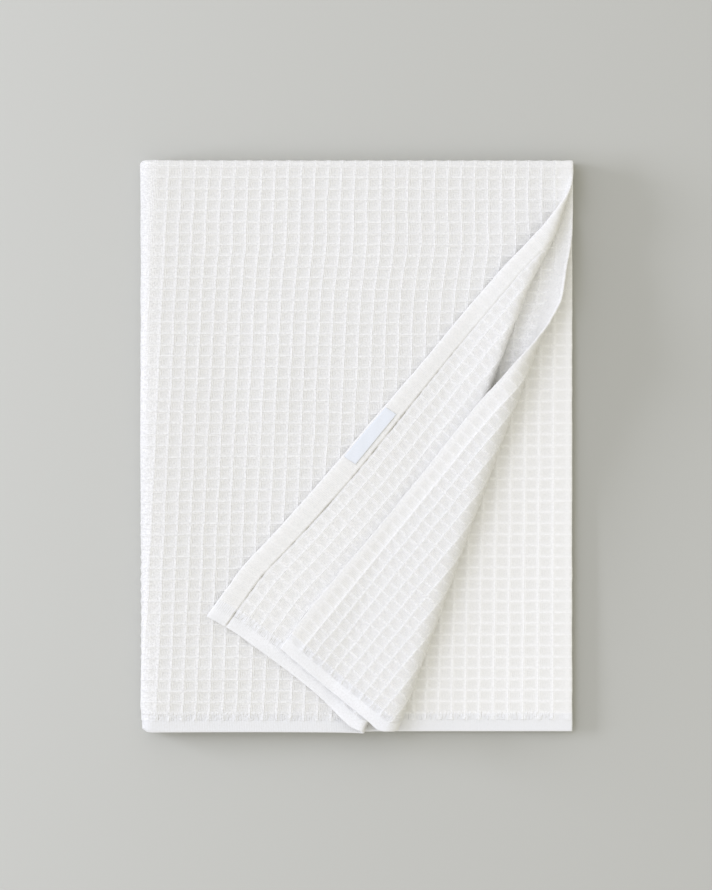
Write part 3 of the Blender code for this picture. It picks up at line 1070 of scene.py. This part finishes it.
@dataclass
class Label:
    """The blank woven label, sewn flat on the wrong side of the turned hem."""

    cloth: FoldedCloth
    length: float = 0.055
    width: float = 0.0105
    thickness: float = 0.0005
    across: float = 0.0067
    along: float = 0.2065
    clearance: float = 0.0002
    columns: int = 12
    rows: int = 44
    crowding: tuple[float, float] = (0.4, 0.15)
    edge_powers: tuple[int, int] = (14, 40)
    edge_share: float = 0.25
    wave: float = 0.00010
    turns_along: int = 9
    turns_across: int = 2
    map_scale: float = 500.0
    node: str = "label"
    slot: str = "woven_label"

    def build(self, material: bpy.types.Material) -> bpy.types.Object:
        """Builds the label as a thin closed sheet that follows its hem.

        Args:
            material: the finish of the label.

        Returns:
            The label.
        """
        steps = []
        for count, share in zip((self.columns, self.rows), self.crowding):
            step = np.linspace(-1, 1, count)
            steps.append(np.sin(step * math.pi / 2) * share + step * (1 - share))
        s, t = np.meshgrid(*steps, indexing="ij")
        across = self.across + s * self.width / 2
        along = self.along + t * self.length / 2
        middle = self.cloth.place(across, along)
        up = -self.cloth.normal(across, along)
        edges = [1 - np.abs(step) ** power for step, power in zip((s, t), self.edge_powers)]
        round_edge = np.sqrt(np.clip(edges[0], 0, 1) * np.clip(edges[1], 0, 1))
        base = self.cloth.stack.thickness / 2 + self.clearance + self.thickness / 2
        wave = self.wave * np.sin(self.turns_along * t + self.turns_across * s)
        rise = base + wave * (1 - s * s)
        half = self.thickness / 2 * (self.edge_share + (1 - self.edge_share) * round_edge)
        faces = [middle + up * (rise + side * half)[..., None] for side in (1, -1)]

        index = np.arange(s.size).reshape(s.shape)
        corners = (index[:-1, :-1], index[1:, :-1], index[1:, 1:], index[:-1, 1:])
        quads = np.stack(corners, axis=-1).reshape(-1, 4)
        ring = np.array([*index[:, 0], *index[-1, 1:], *index[-2::-1, -1], *index[0, -2:0:-1]])
        after = np.roll(ring, -1)
        rim = np.stack((after, ring, ring + s.size, after + s.size), axis=1)
        rings = np.concatenate((quads, quads[:, ::-1] + s.size, rim))
        places = np.concatenate([face.reshape(-1, 3) for face in faces])
        cells = np.tile(np.stack((s.ravel(), t.ravel()), axis=1), (2, 1))
        cells = cells * np.array([self.width, self.length]) * self.map_scale
        label = make_object("label.woven", places, list(rings), cells, material)
        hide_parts(self.node)
        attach(label, "root")
        LOG.info("label: %d faces", len(rings))
        return label


class NodeSheet:
    """A node tree in the making, with short ways to add and join its nodes."""

    def __init__(self, tree: bpy.types.NodeTree) -> None:
        """Keeps the tree."""
        self.tree = tree

    def add(self, kind: str, **settings: object) -> bpy.types.Node:
        """Adds a node and gives it its settings."""
        node = self.tree.nodes.new(kind)
        for name, value in settings.items():
            setattr(node, name, value)
        return node

    def join(self, source: object, socket: bpy.types.NodeSocket) -> None:
        """Gives a socket another node's output, a number, or a colour's three parts."""
        if isinstance(source, bpy.types.NodeSocket):
            self.tree.links.new(source, socket)
        elif socket.type == "RGBA":
            socket.default_value = (*source, 1.0)
        else:
            socket.default_value = source

    def fill(self, node: bpy.types.Node, sources: dict[object, object]) -> bpy.types.Node:
        """Gives several inputs of a node their sources, by their names or numbers."""
        for name, source in sources.items():
            self.join(source, node.inputs[name])
        return node

    def math(self, operation: str, *values: object) -> bpy.types.NodeSocket:
        """Adds a sum of one to three numbers or outputs of other nodes."""
        node = self.add("ShaderNodeMath", operation=operation)
        return self.fill(node, dict(enumerate(values))).outputs[0]

    def vector(self, operation: str, *values: object) -> bpy.types.Node:
        """Adds a sum of two vectors."""
        node = self.add("ShaderNodeVectorMath", operation=operation)
        return self.fill(node, dict(enumerate(values)))

    def mix(self, share: object, low: object, high: object) -> bpy.types.NodeSocket:
        """Mixes two colours."""
        node = self.add("ShaderNodeMix", data_type="RGBA")
        return self.fill(node, {0: share, 6: low, 7: high}).outputs[2]

    def step(self, value: object, low: float, high: float) -> bpy.types.NodeSocket:
        """Goes smoothly from 0 at low to 1 at high."""
        node = self.add("ShaderNodeMapRange", interpolation_type="SMOOTHSTEP")
        sources = {"Value": value, "From Min": low, "From Max": high}
        return self.fill(node, sources).outputs["Result"]

    def noise(self, place: object, scale: float, detail: float = 2.0) -> bpy.types.NodeSocket:
        """Adds noise from 0 to 1."""
        sources = {"Vector": place, "Scale": scale, "Detail": detail}
        return self.fill(self.add("ShaderNodeTexNoise"), sources).outputs["Fac"]

    def parts(self, vector: object) -> tuple[bpy.types.NodeSocket, bpy.types.NodeSocket]:
        """Gives the first two parts of a vector."""
        node = self.fill(self.add("ShaderNodeSeparateXYZ"), {0: vector})
        return node.outputs["X"], node.outputs["Y"]

    def group(self, tree: bpy.types.NodeTree, **sources: object) -> bpy.types.Node:
        """Adds a shared group with its inputs."""
        return self.fill(self.add("ShaderNodeGroup", node_tree=tree), sources)

    def bump(self, height: object, strength: float, depth: float) -> bpy.types.NodeSocket:
        """Adds bumps of a depth in metres, and gives the normal."""
        sources = {"Height": height, "Strength": strength, "Distance": depth}
        return self.fill(self.add("ShaderNodeBump"), sources).outputs[0]


@dataclass(frozen=True)
class GroupSpec:
    """The name and sockets of a shared shader group."""

    name: str
    inputs: dict[str, str | float]
    outputs: dict[str, str]

    def start(self) -> tuple[bpy.types.NodeTree, NodeSheet, bpy.types.Node, bpy.types.Node]:
        """Makes the group with its sockets.

        Returns:
            The group, its sheet of nodes, its input node and its output node.
        """
        tree = bpy.data.node_groups.new(self.name, "ShaderNodeTree")
        for name, given in self.inputs.items():
            kind = given if isinstance(given, str) else "Float"
            socket = tree.interface.new_socket(
                name, in_out="INPUT", socket_type=f"NodeSocket{kind}"
            )
            if kind == "Float":
                socket.default_value = given
        for name, kind in self.outputs.items():
            tree.interface.new_socket(name, in_out="OUTPUT", socket_type=f"NodeSocket{kind}")
        sheet = NodeSheet(tree)
        return tree, sheet, sheet.add("NodeGroupInput"), sheet.add("NodeGroupOutput")


def make_thread_group() -> bpy.types.NodeTree:
    """Makes the shared group that draws crossing threads on a weave map in millimetres.

    Returns:
        The group, with the height of the threads and their uneven shade around 0.5.
    """
    inputs = {"Place": "Vector", "Spacing": 1.0, "Lengthwise": 0.5, "Unevenness": 0.3}
    spec = GroupSpec("crossing threads", inputs, {"Height": "Float", "Shade": "Float"})
    tree, sheet, given, made = spec.start()
    place, spacing, share, unevenness = (given.outputs[name] for name in inputs)
    waver_scale, slub_scale, fibre_scale = 0.35, 0.55, 1.6
    slub_height, fibre_height = 1.6, 0.5
    waver = sheet.math("SUBTRACT", sheet.noise(place, waver_scale), 0.5)
    waver = sheet.math("MULTIPLY", waver, unevenness)
    waves = []
    for part in sheet.parts(place):
        turns = sheet.math("DIVIDE", sheet.math("ADD", part, waver), spacing)
        wave = sheet.math("COSINE", sheet.math("MULTIPLY", turns, 2 * math.pi))
        waves.append(sheet.math("MULTIPLY_ADD", wave, 0.5, 0.5))
    lengthwise = sheet.math("MULTIPLY", waves[0], share)
    crosswise = sheet.math("MULTIPLY", waves[1], sheet.math("SUBTRACT", 1.0, share))
    threads = sheet.math("ADD", lengthwise, crosswise)
    slub, fibre = sheet.noise(place, slub_scale), sheet.noise(place, fibre_scale, 3.0)
    height = sheet.math("MULTIPLY_ADD", slub, slub_height, threads)
    sheet.fill(made, {
        "Height": sheet.math("MULTIPLY_ADD", fibre, fibre_height, height),
        "Shade": sheet.math("MULTIPLY_ADD", fibre, 0.5, sheet.math("MULTIPLY", slub, 0.5)),
    })
    return tree


def make_mottle_group() -> bpy.types.NodeTree:
    """Makes the shared group that gives a colour slight soft unevenness.

    Returns:
        The group, with the colour that comes out.
    """
    inputs = {"Place": "Vector", "Color": "Color", "Shade": "Color", "Strength": 0.3}
    tree, sheet, given, made = GroupSpec("soft mottle", inputs, {"Color": "Color"}).start()
    place, color, shade, strength = (given.outputs[name] for name in inputs)
    broad_scale, broad_range, broad_share = 0.045, (0.35, 0.7), 0.6
    fine_scale, fine_range, fine_share = 1.1, (0.4, 0.75), 0.4
    broad = sheet.step(sheet.noise(place, broad_scale, 3.0), *broad_range)
    fine = sheet.step(sheet.noise(place, fine_scale), *fine_range)
    fine = sheet.math("MULTIPLY", fine, fine_share)
    both = sheet.math("MULTIPLY_ADD", broad, broad_share, fine)
    sheet.fill(made, {"Color": sheet.mix(sheet.math("MULTIPLY", both, strength), color, shade)})
    return tree


def start_material(
    name: str, values: dict[str, float]
) -> tuple[bpy.types.Material, NodeSheet, bpy.types.Node]:
    """Starts a material.

    Args:
        name: its name.
        values: constant values of its shader.

    Returns:
        The material, its sheet of nodes and its shader.
    """
    material = bpy.data.materials.new(name)
    material.use_nodes = True
    sheet = NodeSheet(material.node_tree)
    return material, sheet, sheet.fill(material.node_tree.nodes["Principled BSDF"], values)


@dataclass(frozen=True)
class CottonFinish:
    """The soft white cotton of the blanket, with its threads, bands, mottle, and painted shade and
    highlights.
    """

    waffle: Waffle
    # Ridge tops get a lighter colour as a painted highlight, and pockets a darker, warmer one as
    # painted shade.
    ridge_highlight_color: Color = (0.940, 0.930, 0.878)
    pocket_shade_color: Color = (0.825, 0.813, 0.750)
    band_color: Color = (0.795, 0.795, 0.768)
    band_light: Color = (0.925, 0.922, 0.890)
    groove_shadow_color: Color = (0.420, 0.390, 0.310)
    shade_color: Color = (0.865, 0.850, 0.812)
    dark_thread: float = 0.81
    mottle: float = 0.35
    roughness: float = 0.92
    sheen: float = 0.15
    sheen_roughness: float = 0.6
    specular: float = 0.25
    thread: float = 1.45
    unevenness: float = 0.5
    loops: float = 2.2
    loop_drawn: tuple[float, float, float] = (1.0, 0.45, 1.0)
    thread_depth: float = 0.00016
    edge_range: tuple[float, float] = (-0.08, 0.02)
    turn_range: tuple[float, float] = (-0.05, 0.05)
    ridge_range: tuple[float, float] = (0.40, 0.98)
    band_range: tuple[float, float] = (0.30, 0.98)
    groove_shadow_range: tuple[float, float] = (-0.9, -0.1)
    dark_range: tuple[float, float] = (0.62, 0.30)
    loop_range: tuple[float, float] = (0.38, 0.62)
    loop_scale: float = 0.42
    loop_begin: float = 0.04
    loop_reach: float = 0.25

    def make(self, threads: bpy.types.NodeTree, mottle: bpy.types.NodeTree) -> bpy.types.Material:
        """Makes the material.

        Args:
            threads: shared group of crossing threads.
            mottle: shared group of soft unevenness.

        Returns:
            The material.
        """
        material, sheet, shader = start_material("waffle cotton", {
            "Roughness": self.roughness, "Sheen Weight": self.sheen,
            "Sheen Roughness": self.sheen_roughness, "Specular IOR Level": self.specular,
        })
        waffle = self.waffle
        cells = sheet.add("ShaderNodeUVMap", uv_map="weave").outputs[0]
        size = (waffle.pitch_across * MILLIMETRES, waffle.pitch_along * MILLIMETRES, 1.0)
        place = sheet.vector("MULTIPLY", cells, size).outputs[0]
        column, row = sheet.parts(cells)
        in_cells = self.inside(sheet, column, waffle.cells_across)
        in_rows = self.inside(sheet, row, waffle.cells_along)
        near = [sheet.math("PINGPONG", part, 0.5) for part in (column, row)]
        lengthwise = sheet.step(sheet.math("SUBTRACT", near[1], near[0]), *self.turn_range)
        lengthwise = sheet.math("MULTIPLY", lengthwise, in_cells)
        lengthwise = sheet.math("MAXIMUM", lengthwise, sheet.math("SUBTRACT", 1.0, in_rows))
        weave = sheet.group(
            threads, Place=place, Spacing=self.thread, Lengthwise=lengthwise,
            Unevenness=self.unevenness,
        )
        shade, grain = (
            sheet.add("ShaderNodeAttribute", attribute_name=name).outputs["Fac"]
            for name in ("shade", "grain")
        )
        # Painted light: the shade attribute lightens ridge tops as a painted highlight and darkens
        # pockets as painted shade.
        ridges = sheet.step(shade, *self.ridge_range)
        color = sheet.mix(ridges, self.pocket_shade_color, self.ridge_highlight_color)
        bands = sheet.step(shade, *self.band_range)
        band = sheet.mix(bands, self.band_color, self.band_light)
        color = sheet.mix(in_rows, band, color)
        # A dark colour in the groove beside the turned hem, as a painted shadow.
        color = sheet.mix(sheet.step(shade, *self.groove_shadow_range), self.groove_shadow_color, color)
        soft = sheet.group(
            mottle, Place=place, Color=color, Shade=self.shade_color, Strength=self.mottle
        )
        dark = tuple(self.dark_thread * part for part in self.ridge_highlight_color)
        gaps = sheet.step(weave.outputs["Shade"], *self.dark_range)
        light = sheet.math("MULTIPLY", gaps, grain)
        sheet.join(sheet.mix(light, soft.outputs["Color"], dark), shader.inputs["Base Color"])

        loops = sheet.math("MULTIPLY", self.loop_rows(sheet, place, row), in_cells)
        height = sheet.math("MULTIPLY_ADD", weave.outputs["Height"], grain, loops)
        sheet.join(sheet.bump(height, 1.0, self.thread_depth), shader.inputs["Normal"])
        return material

    def loop_rows(self, sheet: NodeSheet, place: object, row: object) -> bpy.types.NodeSocket:
        """Gives the height of the loose loops beside the plain bands.

        Args:
            sheet: the nodes of the material.
            place: places on the weave map in millimetres.
            row: places along the cloth, in cells.

        Returns:
            The height.
        """
        waffle = self.waffle
        far = sheet.math("SUBTRACT", float(waffle.cells_along), row)
        from_band = sheet.math("MINIMUM", row, far)
        start = (waffle.loops_start - waffle.band) / waffle.pitch_along
        begins = sheet.step(from_band, start - self.loop_begin, start + self.loop_begin)
        zone = sheet.math("MULTIPLY", begins, sheet.step(from_band, self.loop_reach, 0.0))
        drawn = sheet.vector("MULTIPLY", place, self.loop_drawn).outputs[0]
        loops = sheet.step(sheet.noise(drawn, self.loop_scale, 1.0), *self.loop_range)
        return sheet.math("MULTIPLY", sheet.math("MULTIPLY", loops, zone), self.loops)

    def inside(self, sheet: NodeSheet, value: object, cells: int) -> bpy.types.NodeSocket:
        """Gives 1 where the map lies between the hems or bands, and 0 on them."""
        low, high = self.edge_range
        begins = sheet.step(value, low, high)
        return sheet.math("MULTIPLY", begins, sheet.step(value, cells - low, cells - high))


@dataclass(frozen=True)
class LabelFinish:
    """The smooth woven tape of the blank label."""

    color: Color = (0.800, 0.822, 0.828)
    edge_color: Color = (0.755, 0.785, 0.805)
    mottle: float = 0.5
    roughness: float = 0.62
    sheen: float = 0.1
    thread: float = 0.42
    lengthwise: float = 0.35
    unevenness: float = 0.12
    bump: float = 0.7
    thread_depth: float = 0.00006
    top_range: tuple[float, float] = (0.3, 0.65)

    def make(self, threads: bpy.types.NodeTree, mottle: bpy.types.NodeTree) -> bpy.types.Material:
        """Makes the material.

        Args:
            threads: shared group of crossing threads.
            mottle: shared group of soft unevenness.

        Returns:
            The material.
        """
        material, sheet, shader = start_material(
            "woven label", {"Roughness": self.roughness, "Sheen Weight": self.sheen}
        )
        place = sheet.add("ShaderNodeUVMap", uv_map="weave").outputs[0]
        weave = sheet.group(
            threads, Place=place, Spacing=self.thread, Lengthwise=self.lengthwise,
            Unevenness=self.unevenness,
        )
        tops = sheet.step(weave.outputs["Shade"], *self.top_range)
        color = sheet.mix(tops, self.edge_color, self.color)
        soft = sheet.group(
            mottle, Place=place, Color=color, Shade=self.edge_color, Strength=self.mottle
        )
        normal = sheet.bump(weave.outputs["Height"], self.bump, self.thread_depth)
        sheet.fill(shader, {"Base Color": soft.outputs["Color"], "Normal": normal})
        return material


@dataclass(frozen=True)
class SoftLight:
    """One soft lamp of the studio, aimed at the blanket."""

    name: str
    place: tuple[float, float, float]
    size: tuple[float, float]
    power: float
    color: Color
    floor_only: bool = False

    def build(self) -> bpy.types.Object:
        """Adds the lamp."""
        data = bpy.data.lights.new(self.name, "AREA")
        data.shape = "RECTANGLE"
        data.size, data.size_y = self.size
        data.energy = self.power
        data.color = self.color
        lamp = bpy.data.objects.new(self.name, data)
        lamp.location = self.place
        lamp.rotation_euler = (-Vector(self.place)).to_track_quat("-Z", "Y").to_euler()
        bpy.context.scene.collection.objects.link(lamp)
        return lamp


@dataclass(frozen=True)
class Studio:
    """The plain floor, the soft light and the camera above the blanket."""

    floor_size: float = 14.0
    floor_color: Color = (0.409, 0.404, 0.350)
    floor_roughness: float = 0.9
    camera_height: float = 2.012
    camera_place: tuple[float, float] = (-0.0004, 0.0012)
    frame_height: float = 0.777
    sensor: float = 36.0
    sky_light: Color = (1.40, 1.430, 1.600)
    sky_shade: Color = (0.60, 0.556, 0.370)
    sky_way: tuple[float, float, float] = (-0.86, 0.36, 0.36)
    sky_strength: float = 0.885
    cloth_level: float = 0.012
    lights: tuple[SoftLight, ...] = (
        SoftLight("key", (-3.40, 1.50, 4.70), (2.4, 2.4), 46.0, (0.95, 1.0, 1.35)),
        SoftLight(
            "floor glow", (-2.6, 0.25, 0.55), (1.4, 0.55), 112.0, (0.93, 0.97, 1.20),
            floor_only=True,
        ),
    )

    def build(self) -> None:
        """Builds the floor, the lights, the sky and the camera."""
        bpy.ops.object.select_all(action="DESELECT")
        bpy.ops.mesh.primitive_plane_add(size=self.floor_size)
        floor = bpy.context.active_object
        floor.name = "floor"
        values = {"Base Color": self.floor_color, "Roughness": self.floor_roughness}
        floor.data.materials.append(start_material("pale floor", values)[0])
        only_floor = bpy.data.collections.new("floor only")
        only_floor.objects.link(floor)
        for light in self.lights:
            lamp = light.build()
            if light.floor_only:
                lamp.light_linking.receiver_collection = only_floor
        scene = bpy.context.scene
        scene.world = self.make_sky()
        scene.view_settings.view_transform = "Standard"
        data = bpy.data.cameras.new("camera")
        data.sensor_width = self.sensor
        reach = self.camera_height - self.cloth_level
        data.lens = self.sensor * reach / self.frame_height
        camera = bpy.data.objects.new("camera", data)
        camera.location = (*self.camera_place, self.camera_height)
        scene.collection.objects.link(camera)
        scene.camera = camera

    def make_sky(self) -> bpy.types.World:
        """Makes the sky, lighter and cooler towards one side."""
        world = bpy.data.worlds.new("soft sky")
        world.use_nodes = True
        sheet = NodeSheet(world.node_tree)
        way = sheet.add("ShaderNodeTexCoord").outputs["Generated"]
        toward = sheet.vector("DOT_PRODUCT", way, self.sky_way).outputs["Value"]
        share = sheet.math("MULTIPLY_ADD", toward, 0.5, 0.5)
        color = sheet.mix(share, self.sky_shade, self.sky_light)
        sky = world.node_tree.nodes["Background"]
        sheet.fill(sky, {"Color": color, "Strength": self.sky_strength})
        return world


def make_cloth() -> FoldedCloth:
    """Gives the folded cloth with its two turned corners.

    Returns:
        The cloth.
    """
    stack = Stack()
    offset, radius = curves(
        (0.0, 0.040, 0.066, 0.112, 0.220, 0.560),
        (0.0, -0.0003, -0.0003, -0.0059, -0.0062, -0.0065),
        (0.0032, 0.0045, 0.0050, 0.0049, 0.0040, 0.0040),
    )
    top_corner = TurnedCorner(
        stack=stack, start=0.0046, rest=stack.pitch, run=0.030, offset=offset, radius=radius,
        pull=Curve(
            (0.0, 0.046, 0.074, 0.100, 0.118, 0.150, 0.205, 0.260, 0.290, 0.325, 0.375, 0.410,
             0.445, 0.470, 0.499),
            (0.0, 0.0, -0.0014, 0.0034, 0.0062, 0.0079, 0.0089, 0.0104, 0.0113, 0.0120, 0.0109,
             0.0090, 0.0068, 0.0085, 0.0105),
        ),
        spread=Curve(
            (0.0, 0.118, 0.150, 0.205, 0.260, 0.290, 0.325, 0.375, 0.410, 0.445, 0.470, 0.499),
            (0.0, 0.0, 0.0002, -0.0003, 0.0012, 0.0025, 0.0028, 0.0028, 0.0019, 0.0019, 0.0020,
             0.0018),
        ),
        stretch=Curve(
            (0.0, 0.015, 0.030, 0.060, 0.090, 0.120, 0.160, 0.173, 0.230, 0.370),
            (0.0236, 0.0175, 0.0130, 0.0088, 0.0052, 0.0042, 0.0044, 0.0040, 0.0, 0.0),
        ),
        end=Curve(
            (0.0, 0.090, 0.120, 0.160, 0.173, 0.230, 0.370),
            (0.0, 0.0, 0.0, 0.0022, -0.0008, 0.0, 0.0),
        ),
    )
    offset, radius = curves(
        (0.0, 0.050, 0.066, 0.084, 0.100, 0.120, 0.167, 0.227, 0.347, 0.567),
        (0.0, 0.0, 0.0, 0.0, -0.0004, -0.0010, 0.0008, 0.0012, 0.0021, 0.0034),
        (0.0095, 0.0125, 0.0155, 0.0190, 0.0165, 0.0134, 0.0112, 0.0102, 0.0098, 0.0098),
    )
    stretch, end = curves(
        (0.0, 0.050, 0.105, 0.117, 0.127, 0.137, 0.150, 0.200, 0.370),
        (0.0240, 0.0248, 0.0218, 0.0212, 0.0197, 0.0180, 0.0150, 0.0, 0.0),
        (0.0, 0.0, 0.0, 0.0, -0.0058, -0.0100, -0.0080, 0.0, 0.0),
    )
    second_corner = TurnedCorner(
        stack=stack, start=0.0379, rest=3 * stack.pitch, run=0.055, offset=offset,
        radius=radius, stretch=stretch, end=end,
        pull=Curve(
            (0.0, 0.066, 0.102, 0.121, 0.138, 0.155, 0.230, 0.300, 0.370, 0.430, 0.470, 0.510),
            (0.0, 0.0, 0.0022, 0.0052, 0.0124, 0.0150, 0.0165, 0.0185, 0.0193, 0.0198, 0.0202,
             0.0205),
        ),
        spread=Curve(
            (0.0, 0.121, 0.138, 0.155, 0.230, 0.300, 0.370, 0.430, 0.470, 0.510),
            (0.0, 0.0, 0.0, 0.0006, 0.0017, 0.0008, 0.0012, 0.0024, 0.0025, 0.0),
        ),
    )
    return FoldedCloth(stack, top_corner, second_corner)


def main() -> None:
    """Builds the blanket, its label and the studio, and logs the label's face count."""
    logging.basicConfig(level=logging.INFO, format="%(message)s")
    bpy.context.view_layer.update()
    cloth = make_cloth()
    waffle = Waffle(cloth.stack)
    threads, mottle = make_thread_group(), make_mottle_group()
    Blanket(cloth, waffle).build(CottonFinish(waffle).make(threads, mottle))
    Label(cloth).build(LabelFinish().make(threads, mottle))
    Studio().build()


if __name__ == "__main__":
    main()
